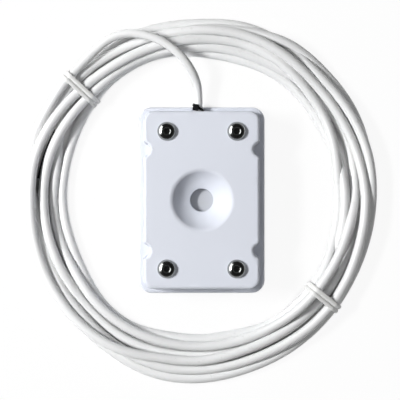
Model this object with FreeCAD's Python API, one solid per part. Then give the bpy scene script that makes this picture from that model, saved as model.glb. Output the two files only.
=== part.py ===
import FreeCAD, Part
import math
import os

from FreeCAD import Vector

# Water level sensor with its coiled cable, contact side up. Lengths are in millimetres and angles in
# degrees. Seen from above, +X is to the right and +Y points to the cable's outlet. The origin is the
# centre of the back plate's underside.

# Back plate
PLATE_WIDTH = 51.6
PLATE_LENGTH = 76.2
PLATE_CORNER_RADIUS = 5.2
PLATE_THICKNESS = 3.4
PLATE_FLOOR = 2.0
PLATE_TOP_ROUND = 0.8
PLATE_BOTTOM_ROUND = 0.4
SPIGOT_HEIGHT = 2.0
SPIGOT_WALL = 1.4
SPIGOT_CLEARANCE = 0.15

# Contact cover
LEDGE_SIDE = 2.0
LEDGE_END = 1.85
COVER_TOP = 17.0
COVER_CORNER_RADIUS = 4.4
INNER_CORNER_RADIUS = 0.8
COVER_WALL = 2.1
COVER_ROOF = 2.0
COVER_DRAFT = 0.36
FACE_EDGE_ROUND = 1.35
NOTCH_END_DISTANCE = 15.75
NOTCH_RADIUS = 2.5
NOTCH_MOUTH_ROUND = 1.8
BOWL_MOUTH_DIAMETER = 24.0
BOWL_DEPTH = 6.5
BOWL_RIM_ROUND = 2.2
RECESS_DIAMETER = 9.4
RECESS_FLOOR_HEIGHT = 8.2
RECESS_FLOOR_THICKNESS = 1.8
RECESS_WALL = 1.8
RECESS_RIM_ROUND = 0.4

# Seal between cover and plate
GASKET_INSET = 0.6
GASKET_WIDTH = 1.0
GASKET_THICKNESS = 0.8

# Contact screws, their seals and inserts
SCREW_SIDE_DISTANCE = 9.7
SCREW_END_DISTANCE = 8.5
SCREW_DIAMETER = 4.0
SCREW_LENGTH = 14.0
SCREW_TIP_CHAMFER = 0.5
SCREW_CLEARANCE = 0.2
HEAD_DIAMETER = 7.6
HEAD_HEIGHT = 2.2
HEAD_RIM_HEIGHT = 0.35
HEAD_FLAT_DIAMETER = 4.0
DOME_BULGE = 0.14
SOCKET_ACROSS_FLATS = 2.5
SOCKET_DEPTH = 1.3
SOCKET_MOUTH_DIAMETER = 3.3
SOCKET_CHAMFER_DEPTH = 0.35
BOSS_DIAMETER = 8.4
SEAL_SECTION = 0.9
SEAL_SHANK_CLEARANCE = 0.1
GLAND_CLEARANCE = 0.2
INSERT_DIAMETER = 5.6
INSERT_FLANGE_DIAMETER = 7.6
INSERT_FLANGE_THICKNESS = 0.6
THREAD_CLEARANCE = 0.05

# Circuit board and what is on it
BOARD_SIDE_CLEARANCE = 0.6
BOARD_END_CLEARANCE = 1.6
BOARD_CORNER_RADIUS = 2.0
BOARD_BOTTOM = 7.0
BOARD_THICKNESS = 1.6
BOARD_BOWL_CLEARANCE = 0.5
BOARD_SCREW_CLEARANCE = 0.15
BOARD_NOTCH_WIDTH = 9.0
BOARD_NOTCH_DEPTH = 6.0
RESISTOR_END_DISTANCE = 11.0
RESISTOR_LENGTH = 6.3
RESISTOR_DIAMETER = 2.3
RESISTOR_WAIST_DIAMETER = 1.95
RESISTOR_CAP_LENGTH = 1.5
RESISTOR_LIFT = 0.2
RESISTOR_LEAD_DIAMETER = 0.6
RESISTOR_LEAD_SPACING = 10.2
RESISTOR_LEAD_BEND = 0.8
LEAD_STICK_OUT = 0.9
HOLE_CLEARANCE = 0.1
SOLDER_RADIUS = 1.1
SOLDER_HEIGHT = 0.7

# Cable, its cores and its ties
CABLE_DIAMETER = 3.8
CABLE_X = -1.4
CABLE_CLEARANCE = 0.05
JACKET_PAST_NOTCH = 2.0
CORE_DIAMETER = 1.3
CORE_SPACING = 1.5
CORE_SPREAD = 4.8
CORE_STRAIGHT = 1.8
CORE_SPREAD_RUN = 2.6
CORE_LENGTH = 6.2
CONDUCTOR_DIAMETER = 0.8
CONDUCTOR_RUN = 1.4
CONDUCTOR_BEND = 0.9
EXIT_TIE_WIDTH = 3.0
EXIT_TIE_THICKNESS = 0.45
EXIT_TIE_WALL_GAP = 0.1
EXIT_TIE_HEAD_WIDTH = 1.7
EXIT_TIE_HEAD_BASE = 0.9
EXIT_TIE_HEAD_TOP = 3.0
TIE_SLOT_GAP = 0.15
INNER_TIE_WIDTH = 2.6
INNER_TIE_THICKNESS = 0.75
INNER_TIE_SPIGOT_GAP = 0.3
INNER_TIE_HEAD_LENGTH = 3.0
INNER_TIE_HEAD_HEIGHT = 3.2

# Free stretch of the cable, from the plate's edge over the coil to the coil's start
LEAD_MIDDLE = [
    Vector(-1.4, 42.9, 5.3),
    Vector(-1.9, 48.0, 7.1),
    Vector(-4.1, 52.9, 9.9),
    Vector(-7.6, 58.0, 11.8),
    Vector(-14.0, 63.6, 12.2),
    Vector(-21.6, 66.9, 11.8),
    Vector(-29.3, 68.2, 10.7),
    Vector(-36.3, 66.6, 9.0),
    Vector(-41.8, 62.6, 7.7),
]
LEAD_LAST_RUN = 6.0
ARC_SHARE = 0.45

# Coil
COIL_CENTRE = Vector(-0.2, -0.2, 0)
COIL_X_SCALE = 0.965
COIL_START_ANGLE = 137.2
COIL_START_RADIUS = 74.0
COIL_PITCH = 4.45
UPPER_TURNS = 3.5
LOWER_TURNS = 2.04
LAYER_STEP = 4.3
SEGMENT_ANGLE = 90.0
GAP_POINTS = 1800

# Ties round the coil
COIL_TIE_ANGLES = {"coil_tie_upper_left": 138.2, "coil_tie_lower_right": 322.5}
COIL_TIE_RIDGE_WIDTH = 1.9
COIL_TIE_GROOVE_WIDTH = 0.1
COIL_TIE_THICKNESS = 0.85
COIL_TIE_WEB_THICKNESS = 0.45
COIL_TIE_RIDGE_ROUND = 0.4
COIL_TIE_CLEARANCE = 0.05
COIL_TIE_SIDE_CLEARANCE = 0.2

# Stripped far end of the cable
END_CORE_LENGTH = 21.0
END_CONDUCTOR_LENGTH = 6.0

# Values that follow from those above
COVER_HALF_WIDTH = PLATE_WIDTH / 2 - LEDGE_SIDE
COVER_HALF_LENGTH = PLATE_LENGTH / 2 - LEDGE_END
ROOF_UNDERSIDE = COVER_TOP - COVER_ROOF
SPIGOT_INSET = COVER_WALL + SPIGOT_CLEARANCE
SPIGOT_TOP = PLATE_THICKNESS + SPIGOT_HEIGHT
NOTCH_Y = COVER_HALF_LENGTH - NOTCH_END_DISTANCE
SCREW_X = COVER_HALF_WIDTH - SCREW_SIDE_DISTANCE
SCREW_Y = COVER_HALF_LENGTH - SCREW_END_DISTANCE
BOARD_TOP = BOARD_BOTTOM + BOARD_THICKNESS
BOARD_HALF_WIDTH = COVER_HALF_WIDTH - NOTCH_RADIUS - COVER_WALL - BOARD_SIDE_CLEARANCE
BOARD_HALF_LENGTH = COVER_HALF_LENGTH - SPIGOT_INSET - SPIGOT_WALL - BOARD_END_CLEARANCE
RESISTOR_Y = RESISTOR_END_DISTANCE - BOARD_HALF_LENGTH
JACKET_END_Y = BOARD_HALF_LENGTH - BOARD_NOTCH_DEPTH + JACKET_PAST_NOTCH
CORE_END_Y = JACKET_END_Y - CORE_LENGTH
CONDUCTOR_HOLE_Y = CORE_END_Y - CONDUCTOR_RUN
BOWL_MOUTH_RADIUS = BOWL_MOUTH_DIAMETER / 2
BOWL_RADIUS = (BOWL_MOUTH_RADIUS ** 2 + BOWL_DEPTH ** 2) / (2 * BOWL_DEPTH)
BOWL_CENTRE = Vector(0, 0, COVER_TOP + BOWL_RADIUS - BOWL_DEPTH)
RECESS_BOSS_RADIUS = RECESS_DIAMETER / 2 + RECESS_WALL
SEAL_RADIUS = SCREW_DIAMETER / 2 + SEAL_SHANK_CLEARANCE + SEAL_SECTION / 2
GLAND_RADIUS = SEAL_RADIUS + SEAL_SECTION / 2 + GLAND_CLEARANCE
CABLE_RADIUS = CABLE_DIAMETER / 2
CABLE_Z = PLATE_THICKNESS + CABLE_RADIUS
CABLE_PASSAGE_RADIUS = CABLE_RADIUS + CABLE_CLEARANCE
LEAD_START = Vector(CABLE_X, PLATE_LENGTH / 2, CABLE_Z)
GROWTH = COIL_PITCH / (2 * math.pi)
UPPER_TRAVEL = 2 * math.pi * UPPER_TURNS
TURN_BACK_TRAVEL = math.pi
LOWER_TRAVEL = 2 * math.pi * LOWER_TURNS
COIL_TRAVEL = UPPER_TRAVEL + TURN_BACK_TRAVEL + LOWER_TRAVEL
LOWER_Z = COIL_TIE_THICKNESS + COIL_TIE_CLEARANCE + CABLE_RADIUS
UPPER_Z = LOWER_Z + LAYER_STEP
TOUCHING = 1e-4


def corner_arc(half_width, half_length, radius):
    """The rounded corner of a rectangle in its first quarter, as start, middle and end."""
    centre = Vector(half_width - radius, half_length - radius, 0)
    slant = radius * math.sqrt(0.5)
    return (
        centre + Vector(radius, 0, 0),
        centre + Vector(slant, slant, 0),
        centre + Vector(0, radius, 0),
    )


def all_round(quarter):
    """The arcs of a closed outline from those of its first quarter, which run from +X to +Y."""
    arcs = []
    for sign_x, sign_y in ((1, 1), (-1, 1), (-1, -1), (1, -1)):
        copies = [tuple(Vector(sign_x * p.x, sign_y * p.y, 0) for p in arc) for arc in quarter]
        if sign_x != sign_y:
            copies = [arc[::-1] for arc in reversed(copies)]
        arcs += copies
    return arcs


def closed_wire(arcs, z):
    """A closed wire at height z: the arcs in their order, joined by straight lines."""
    lift = Vector(0, 0, z)
    edges = []
    for number, (start, middle, end) in enumerate(arcs):
        last_end = arcs[number - 1][2]
        if last_end.distanceToPoint(start) > TOUCHING:
            edges.append(Part.LineSegment(last_end + lift, start + lift).toShape())
        edges.append(Part.Arc(start + lift, middle + lift, end + lift).toShape())
    return Part.Wire(edges)


def rounded_rectangle(half_width, half_length, radius, z):
    """A rounded rectangle round the Z axis."""
    return closed_wire(all_round([corner_arc(half_width, half_length, radius)]), z)


def notch_mouth(side, radius):
    """The round between a long wall and its notch, from the wall to the notch; side is -1 or 1 along Y."""
    notch = Vector(COVER_HALF_WIDTH, NOTCH_Y, 0)
    reach = math.sqrt(NOTCH_RADIUS ** 2 + 2 * NOTCH_RADIUS * NOTCH_MOUTH_ROUND)
    centre = Vector(COVER_HALF_WIDTH - NOTCH_MOUTH_ROUND, notch.y + side * reach, 0)
    to_wall = Vector(1, 0, 0)
    to_notch = (notch - centre).normalize()
    between = (to_wall + to_notch).normalize()
    return (centre + to_wall * radius, centre + between * radius, centre + to_notch * radius)


def cover_outline(inset, z):
    """The cover's outline moved inwards by inset, with two half-round notches in each long side."""
    half_width = COVER_HALF_WIDTH - inset
    half_length = COVER_HALF_LENGTH - inset
    notch_radius = NOTCH_RADIUS + inset
    mouth_radius = NOTCH_MOUTH_ROUND - inset
    deepest = Vector(COVER_HALF_WIDTH - notch_radius, NOTCH_Y, 0)
    if mouth_radius > TOUCHING:
        lower = notch_mouth(-1, mouth_radius)
        upper = notch_mouth(1, mouth_radius)[::-1]
        quarter = [lower, (lower[2], deepest, upper[0]), upper]
    else:
        half_mouth = math.sqrt(notch_radius ** 2 - inset ** 2)
        lower_end = Vector(half_width, NOTCH_Y - half_mouth, 0)
        upper_end = Vector(half_width, NOTCH_Y + half_mouth, 0)
        quarter = [(lower_end, deepest, upper_end)]
    corner_radius = max(COVER_CORNER_RADIUS - inset, INNER_CORNER_RADIUS)
    quarter.append(corner_arc(half_width, half_length, corner_radius))
    return closed_wire(all_round(quarter), z)


def prism(wire, height):
    """A closed wire's area, raised by height."""
    return Part.Face(wire).extrude(Vector(0, 0, height))


def cylinder(radius, bottom, top, x=0.0, y=0.0):
    """An upright cylinder between two heights."""
    return Part.makeCylinder(radius, top - bottom, Vector(x, y, bottom))


def edges_at(shape, z):
    """The edges of a shape that lie at one height."""
    return [edge for edge in shape.Edges if max(abs(v.Z - z) for v in edge.Vertexes) < TOUCHING]


def circles_of(shape, radius):
    """The full circles round the Z axis that have this radius."""
    closed_edges = [edge for edge in shape.Edges if not edge.Degenerated and len(edge.Vertexes) == 1]
    circles = [edge for edge in closed_edges if isinstance(edge.Curve, Part.Circle)]
    return [edge for edge in circles if abs(edge.Curve.Radius - radius) < TOUCHING]


def screw_places():
    """The four screws' names and places: upper left, upper right, lower left, lower right."""
    return [
        ("1", -SCREW_X, SCREW_Y),
        ("2", SCREW_X, SCREW_Y),
        ("3", -SCREW_X, -SCREW_Y),
        ("4", SCREW_X, -SCREW_Y),
    ]


def cable_passage(start_y, end_y):
    """The space for the cable from above the plate, with an upright slot down to the plate."""
    bore = Part.makeCylinder(
        CABLE_PASSAGE_RADIUS, end_y - start_y, Vector(CABLE_X, start_y, CABLE_Z), Vector(0, 1, 0)
    )
    slot = Part.makeBox(
        2 * CABLE_PASSAGE_RADIUS,
        end_y - start_y,
        CABLE_Z - PLATE_THICKNESS,
        Vector(CABLE_X - CABLE_PASSAGE_RADIUS, start_y, PLATE_THICKNESS),
    )
    return bore.fuse(slot)


def make_cover():
    """The cover: drafted wall with soft edges, bowl and recess, screw bosses, glands and outlet."""
    bottom = cover_outline(0, PLATE_THICKNESS)
    top = cover_outline(COVER_DRAFT, COVER_TOP)
    cover = Part.makeLoft([bottom, top], True, True)
    edge_round = min(FACE_EDGE_ROUND, 0.95 * (NOTCH_MOUTH_ROUND - COVER_DRAFT))
    cover = cover.makeFillet(edge_round, edges_at(cover, COVER_TOP))
    cavity = prism(cover_outline(COVER_WALL, PLATE_THICKNESS), ROOF_UNDERSIDE - PLATE_THICKNESS)
    cover = cover.cut(cavity)

    inside_roof = COVER_TOP - COVER_ROOF / 2
    recess_bottom = RECESS_FLOOR_HEIGHT - RECESS_FLOOR_THICKNESS
    bowl_back = Part.makeSphere(BOWL_RADIUS + COVER_ROOF, BOWL_CENTRE)
    bowl_back = bowl_back.common(cylinder(BOWL_RADIUS + COVER_ROOF, recess_bottom, inside_roof))
    additions = [bowl_back, cylinder(RECESS_BOSS_RADIUS, recess_bottom, COVER_TOP - BOWL_DEPTH)]
    for _, x, y in screw_places():
        additions.append(cylinder(BOSS_DIAMETER / 2, BOARD_TOP, inside_roof, x, y))
    cover = cover.fuse(additions)

    cover = cover.cut(Part.makeSphere(BOWL_RADIUS, BOWL_CENTRE))
    cover = cover.makeFillet(BOWL_RIM_ROUND, circles_of(cover, BOWL_MOUTH_RADIUS))
    cover = cover.cut(cylinder(RECESS_DIAMETER / 2, RECESS_FLOOR_HEIGHT, COVER_TOP))
    recess_circles = circles_of(cover, RECESS_DIAMETER / 2)
    recess_rim = max(recess_circles, key=lambda edge: edge.Curve.Center.z)
    cover = cover.makeFillet(RECESS_RIM_ROUND, [recess_rim])

    cuts = [cable_passage(COVER_HALF_LENGTH - 2 * COVER_WALL, PLATE_LENGTH / 2)]
    for _, x, y in screw_places():
        cuts.append(cylinder(SCREW_DIAMETER / 2 + SCREW_CLEARANCE, PLATE_THICKNESS, COVER_TOP, x, y))
        cuts.append(cylinder(GLAND_RADIUS, COVER_TOP - SEAL_SECTION, COVER_TOP, x, y))
    return cover.cut(cuts)


def gasket_ring():
    """The seal's ring, which fills its groove in the plate under the cover's wall."""
    bottom = PLATE_THICKNESS - GASKET_THICKNESS
    outer = prism(cover_outline(GASKET_INSET, bottom), GASKET_THICKNESS)
    return outer.cut(prism(cover_outline(GASKET_INSET + GASKET_WIDTH, bottom), GASKET_THICKNESS))


def make_plate():
    """The back plate: flange, spigot inside the cover, seal groove, insert bosses and tie slot."""
    outline = rounded_rectangle(PLATE_WIDTH / 2, PLATE_LENGTH / 2, PLATE_CORNER_RADIUS, 0)
    plate = prism(outline, PLATE_THICKNESS)
    plate = plate.makeFillet(PLATE_TOP_ROUND, edges_at(plate, PLATE_THICKNESS))
    plate = plate.makeFillet(PLATE_BOTTOM_ROUND, edges_at(plate, 0))

    rise = SPIGOT_TOP - PLATE_FLOOR
    plate = plate.fuse(prism(cover_outline(SPIGOT_INSET, PLATE_FLOOR), rise))
    plate = plate.cut(prism(cover_outline(SPIGOT_INSET + SPIGOT_WALL, PLATE_FLOOR), rise))

    boss_top = BOARD_BOTTOM - INSERT_FLANGE_THICKNESS
    for _, x, y in screw_places():
        plate = plate.fuse(cylinder(BOSS_DIAMETER / 2, PLATE_FLOOR / 2, boss_top, x, y))
        plate = plate.cut(cylinder(INSERT_DIAMETER / 2, PLATE_FLOOR, boss_top, x, y))

    slot_floor = CABLE_Z - CABLE_PASSAGE_RADIUS - EXIT_TIE_THICKNESS - TIE_SLOT_GAP
    slot_half_width = CABLE_PASSAGE_RADIUS + EXIT_TIE_THICKNESS + TIE_SLOT_GAP
    tie_slot = Part.makeBox(
        2 * slot_half_width,
        LEDGE_END,
        PLATE_THICKNESS - slot_floor,
        Vector(CABLE_X - slot_half_width, COVER_HALF_LENGTH, slot_floor),
    )
    passage = cable_passage(COVER_HALF_LENGTH - SPIGOT_INSET - 2 * SPIGOT_WALL, COVER_HALF_LENGTH)
    return plate.cut([gasket_ring(), tie_slot, passage])


def make_screw(x, y):
    """A contact screw: domed head with a hexagon socket, and a plain shank with a chamfered tip."""
    shank = SCREW_DIAMETER / 2
    head = HEAD_DIAMETER / 2
    flat = HEAD_FLAT_DIAMETER / 2
    tip_z = COVER_TOP - SCREW_LENGTH
    rim_z = COVER_TOP + HEAD_RIM_HEIGHT
    head_z = COVER_TOP + HEAD_HEIGHT
    bulge = Vector((head + flat) / 2, 0, (rim_z + head_z) / 2)
    bulge += Vector(head_z - rim_z, 0, head - flat) * DOME_BULGE
    profile = [
        Vector(0, 0, tip_z),
        Vector(shank - SCREW_TIP_CHAMFER, 0, tip_z),
        Vector(shank, 0, tip_z + SCREW_TIP_CHAMFER),
        Vector(shank, 0, COVER_TOP),
        Vector(head, 0, COVER_TOP),
        Vector(head, 0, rim_z),
    ]
    edges = [Part.LineSegment(a, b).toShape() for a, b in zip(profile, profile[1:])]
    edges.append(Part.Arc(profile[-1], bulge, Vector(flat, 0, head_z)).toShape())
    edges.append(Part.LineSegment(Vector(flat, 0, head_z), Vector(0, 0, head_z)).toShape())
    edges.append(Part.LineSegment(Vector(0, 0, head_z), profile[0]).toShape())
    screw = Part.Face(Part.Wire(edges)).revolve(Vector(0, 0, 0), Vector(0, 0, 1), 360)

    corner_distance = SOCKET_ACROSS_FLATS / math.sqrt(3)
    corners = []
    for number in range(7):
        angle = math.radians(60 * number)
        corners.append(Vector(corner_distance * math.cos(angle), corner_distance * math.sin(angle), 0))
    socket = prism(Part.makePolygon(corners), SOCKET_DEPTH)
    socket.translate(Vector(0, 0, head_z - SOCKET_DEPTH))
    mouth = Part.makeCone(
        SOCKET_ACROSS_FLATS / 2,
        SOCKET_MOUTH_DIAMETER / 2,
        SOCKET_CHAMFER_DEPTH,
        Vector(0, 0, head_z - SOCKET_CHAMFER_DEPTH),
    )
    screw = screw.cut([socket, mouth])
    screw.translate(Vector(x, y, 0))
    return screw


def make_seal(x, y):
    """The O-ring in the gland under a screw's head."""
    return Part.makeTorus(SEAL_RADIUS, SEAL_SECTION / 2, Vector(x, y, COVER_TOP - SEAL_SECTION / 2))


def make_insert(x, y):
    """A flanged brass insert, whose flange meets the board's underside."""
    flange_bottom = BOARD_BOTTOM - INSERT_FLANGE_THICKNESS
    body = cylinder(INSERT_DIAMETER / 2, PLATE_FLOOR, flange_bottom, x, y)
    flange = cylinder(INSERT_FLANGE_DIAMETER / 2, flange_bottom, BOARD_BOTTOM, x, y)
    bore = cylinder(SCREW_DIAMETER / 2 + THREAD_CLEARANCE, PLATE_FLOOR, BOARD_BOTTOM, x, y)
    return body.fuse(flange).cut(bore)


def conductor_places():
    """Where the two cable conductors pass through the board."""
    half = CORE_SPREAD / 2
    return [(CABLE_X - half, CONDUCTOR_HOLE_Y), (CABLE_X + half, CONDUCTOR_HOLE_Y)]


def resistor_lead_places():
    """Where the resistor's two leads pass through the board."""
    half = RESISTOR_LEAD_SPACING / 2
    return [(-half, RESISTOR_Y), (half, RESISTOR_Y)]


def make_board():
    """The circuit board, with its hole round the recess and its notch round the cable's tie."""
    outline = rounded_rectangle(BOARD_HALF_WIDTH, BOARD_HALF_LENGTH, BOARD_CORNER_RADIUS, BOARD_BOTTOM)
    board = prism(outline, BOARD_THICKNESS)
    cuts = [cylinder(RECESS_BOSS_RADIUS + BOARD_BOWL_CLEARANCE, BOARD_BOTTOM, BOARD_TOP)]
    for _, x, y in screw_places():
        cuts.append(cylinder(SCREW_DIAMETER / 2 + BOARD_SCREW_CLEARANCE, BOARD_BOTTOM, BOARD_TOP, x, y))
    for x, y in conductor_places():
        cuts.append(cylinder(CONDUCTOR_DIAMETER / 2 + HOLE_CLEARANCE, BOARD_BOTTOM, BOARD_TOP, x, y))
    for x, y in resistor_lead_places():
        cuts.append(cylinder(RESISTOR_LEAD_DIAMETER / 2 + HOLE_CLEARANCE, BOARD_BOTTOM, BOARD_TOP, x, y))
    notch_y = BOARD_HALF_LENGTH - BOARD_NOTCH_DEPTH
    notch_corner = Vector(CABLE_X - BOARD_NOTCH_WIDTH / 2, notch_y, BOARD_BOTTOM)
    cuts.append(Part.makeBox(BOARD_NOTCH_WIDTH, BOARD_NOTCH_DEPTH, BOARD_THICKNESS, notch_corner))
    return board.cut(cuts)


def make_resistor_body():
    """The resistor: a thinner middle between two round caps."""
    middle_z = BOARD_TOP + RESISTOR_LIFT + RESISTOR_DIAMETER / 2
    start = Vector(-RESISTOR_LENGTH / 2, RESISTOR_Y, middle_z)
    along = Vector(1, 0, 0)
    waist = Part.makeCylinder(RESISTOR_WAIST_DIAMETER / 2, RESISTOR_LENGTH, start, along)
    first_cap = Part.makeCylinder(RESISTOR_DIAMETER / 2, RESISTOR_CAP_LENGTH, start, along)
    last_start = start + along * (RESISTOR_LENGTH - RESISTOR_CAP_LENGTH)
    last_cap = Part.makeCylinder(RESISTOR_DIAMETER / 2, RESISTOR_CAP_LENGTH, last_start, along)
    return waist.fuse([first_cap, last_cap])


def line(start, end):
    """A straight edge."""
    return Part.LineSegment(start, end).toShape()


def rounded_path(points, radius=None):
    """Straight runs from point to point, joined by tangent arcs; gives the path and the arcs' radii.

    With no radius, each arc is as large as its two runs allow.
    """
    edges = []
    radii = []
    last = points[0]
    for before, corner, after in zip(points, points[1:], points[2:]):
        backward = before - corner
        forward = after - corner
        shorter_run = min(backward.Length, forward.Length)
        half_turn = (math.pi - backward.getAngle(forward)) / 2
        arc_radius = radius or ARC_SHARE * shorter_run / math.tan(half_turn)
        reach = arc_radius * math.tan(half_turn)
        backward.normalize()
        forward.normalize()
        inward = (backward + forward).normalize()
        start = corner + backward * reach
        middle = corner + inward * arc_radius * (1 / math.cos(half_turn) - 1)
        end = corner + forward * reach
        edges.append(line(last, start))
        edges.append(Part.Arc(start, middle, end).toShape())
        radii.append(arc_radius)
        last = end
    edges.append(line(last, points[-1]))
    return Part.Wire(edges), radii


def tube(path, start, direction, radius):
    """A round solid along a path."""
    section = Part.Wire([Part.Circle(start, direction, radius).toShape()])
    return path.makePipeShell([section], True, False)


def make_resistor_leads():
    """The resistor's two bent leads, from its caps down through the board."""
    middle_z = BOARD_TOP + RESISTOR_LIFT + RESISTOR_DIAMETER / 2
    leads = []
    for x, y in resistor_lead_places():
        side = math.copysign(1, x)
        start = Vector(side * RESISTOR_LENGTH / 2, y, middle_z)
        bend = Vector(x, y, middle_z)
        end = Vector(x, y, BOARD_BOTTOM - LEAD_STICK_OUT)
        path, _ = rounded_path([start, bend, end], RESISTOR_LEAD_BEND)
        leads.append(tube(path, start, bend - start, RESISTOR_LEAD_DIAMETER / 2))
    return Part.makeCompound(leads)


def make_solder_joints():
    """Four cones of solder: the cable's on top of the board, the resistor's beneath it."""
    joints = []
    for x, y in conductor_places():
        wire_radius = CONDUCTOR_DIAMETER / 2
        joint = Part.makeCone(SOLDER_RADIUS, wire_radius, SOLDER_HEIGHT, Vector(x, y, BOARD_TOP))
        joints.append(joint.cut(cylinder(wire_radius, BOARD_BOTTOM, BOARD_TOP + SOLDER_HEIGHT, x, y)))
    for x, y in resistor_lead_places():
        wire_radius = RESISTOR_LEAD_DIAMETER / 2
        down = Vector(0, 0, -1)
        joint = Part.makeCone(SOLDER_RADIUS, wire_radius, SOLDER_HEIGHT, Vector(x, y, BOARD_BOTTOM), down)
        joints.append(joint.cut(cylinder(wire_radius, BOARD_BOTTOM - SOLDER_HEIGHT, BOARD_TOP, x, y)))
    return Part.makeCompound(joints)


def make_cable_in_housing():
    """The cable from its jacket's end inside the housing to the plate's edge."""
    length = LEAD_START.y - JACKET_END_Y
    return Part.makeCylinder(CABLE_RADIUS, length, Vector(CABLE_X, JACKET_END_Y, CABLE_Z), Vector(0, 1, 0))


def make_inner_core(side):
    """One insulated core from the jacket's end to where its conductor is bare; side is -1 or 1."""
    near = CABLE_X + side * CORE_SPACING / 2
    far = CABLE_X + side * CORE_SPREAD / 2
    bend_y = JACKET_END_Y - CORE_STRAIGHT
    points = [
        Vector(near, JACKET_END_Y, CABLE_Z),
        Vector(near, bend_y, CABLE_Z),
        Vector(far, bend_y - CORE_SPREAD_RUN, CABLE_Z),
        Vector(far, CORE_END_Y, CABLE_Z),
    ]
    path, _ = rounded_path(points)
    return tube(path, points[0], Vector(0, -1, 0), CORE_DIAMETER / 2)


def make_inner_conductors():
    """The two bare conductors, from their insulation up through the board."""
    conductors = []
    for x, y in conductor_places():
        start = Vector(x, CORE_END_Y, CABLE_Z)
        bend = Vector(x, y, CABLE_Z)
        end = Vector(x, y, BOARD_TOP + LEAD_STICK_OUT)
        path, _ = rounded_path([start, bend, end], CONDUCTOR_BEND)
        conductors.append(tube(path, start, bend - start, CONDUCTOR_DIAMETER / 2))
    return Part.makeCompound(conductors)


def tie_ring(start_y, width, thickness):
    """A plain band round the straight cable."""
    start = Vector(CABLE_X, start_y, CABLE_Z)
    return Part.makeCylinder(CABLE_PASSAGE_RADIUS + thickness, width, start, Vector(0, 1, 0))


def cable_hole(start_y, width):
    """What the cable takes out of a tie."""
    return Part.makeCylinder(CABLE_PASSAGE_RADIUS, width, Vector(CABLE_X, start_y, CABLE_Z), Vector(0, 1, 0))


def make_exit_tie():
    """The small tie over the cable outside the cover, with its head at the upper left."""
    start_y = COVER_HALF_LENGTH + EXIT_TIE_WALL_GAP
    ring = tie_ring(start_y, EXIT_TIE_WIDTH, EXIT_TIE_THICKNESS)
    left = CABLE_X - CABLE_PASSAGE_RADIUS - EXIT_TIE_THICKNESS
    head = Part.makeBox(
        EXIT_TIE_HEAD_WIDTH,
        EXIT_TIE_WIDTH,
        EXIT_TIE_HEAD_TOP - EXIT_TIE_HEAD_BASE,
        Vector(left, start_y, CABLE_Z + EXIT_TIE_HEAD_BASE),
    )
    return ring.fuse(head).cut(cable_hole(start_y, EXIT_TIE_WIDTH))


def make_inner_tie():
    """The tie behind the spigot, which holds the cable against a pull."""
    end_y = COVER_HALF_LENGTH - SPIGOT_INSET - SPIGOT_WALL - INNER_TIE_SPIGOT_GAP
    start_y = end_y - INNER_TIE_WIDTH
    ring = tie_ring(start_y, INNER_TIE_WIDTH, INNER_TIE_THICKNESS)
    head = Part.makeBox(
        CABLE_PASSAGE_RADIUS + INNER_TIE_HEAD_LENGTH - CABLE_RADIUS / 2,
        INNER_TIE_WIDTH,
        INNER_TIE_HEAD_HEIGHT,
        Vector(CABLE_X + CABLE_RADIUS / 2, start_y, CABLE_Z - INNER_TIE_HEAD_HEIGHT / 2),
    )
    return ring.fuse(head).cut(cable_hole(start_y, INNER_TIE_WIDTH))


def coil_state(travel):
    """Radius, growth, height and climb of the coil after an angle of travel in radians."""
    if travel <= UPPER_TRAVEL:
        return COIL_START_RADIUS - GROWTH * travel, -GROWTH, UPPER_Z, 0.0
    inner_radius = COIL_START_RADIUS - GROWTH * UPPER_TRAVEL
    turned = travel - UPPER_TRAVEL
    if turned <= TURN_BACK_TRAVEL:
        radius = inner_radius - GROWTH * turned + GROWTH * turned ** 2 / TURN_BACK_TRAVEL
        growth = -GROWTH + 2 * GROWTH * turned / TURN_BACK_TRAVEL
        height = UPPER_Z - LAYER_STEP * (1 - math.cos(turned)) / 2
        return radius, growth, height, -LAYER_STEP * math.sin(turned) / 2
    return inner_radius + GROWTH * (turned - TURN_BACK_TRAVEL), GROWTH, LOWER_Z, 0.0


def coil_place(travel):
    """The point of the coil's centre line after an angle of travel, and the direction there."""
    radius, growth, height, climb = coil_state(travel)
    angle = math.radians(COIL_START_ANGLE) + travel
    cosine = math.cos(angle)
    sine = math.sin(angle)
    point = COIL_CENTRE + Vector(COIL_X_SCALE * radius * cosine, radius * sine, height)
    direction = Vector(
        COIL_X_SCALE * (growth * cosine - radius * sine), growth * sine + radius * cosine, climb
    )
    return point, direction.normalize()


def arc_from(start, corner, end):
    """The arc from start to end whose tangents meet at corner, at equal distances from both."""
    chord_middle = (start + end) * 0.5
    turn = (corner - start).getAngle(end - corner)
    sagitta = start.distanceToPoint(end) / 2 * math.tan(turn / 4)
    middle = chord_middle + (corner - chord_middle).normalize() * sagitta
    return Part.Arc(start, middle, end).toShape()


def biarc(start, start_direction, end, end_direction):
    """Two tangent arcs from start to end, in the given directions at both."""
    chord = end - start
    both = start_direction + end_direction
    along = chord.dot(both)
    spread = 2 * (1 - start_direction.dot(end_direction))
    reach = (-along + math.sqrt(along ** 2 + spread * chord.dot(chord))) / spread
    first_corner = start + start_direction * reach
    last_corner = end - end_direction * reach
    joint = (first_corner + last_corner) * 0.5
    return [arc_from(start, first_corner, joint), arc_from(joint, last_corner, end)]


def coil_ends():
    """The coil's two end faces, each as a point and the cable's direction there.

    Both ends run straight for one diameter beyond the spiral.
    """
    first, first_direction = coil_place(0.0)
    last, last_direction = coil_place(COIL_TRAVEL)
    start = first - first_direction * CABLE_DIAMETER
    end = last + last_direction * CABLE_DIAMETER
    return (start, first_direction), (end, last_direction)


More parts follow.
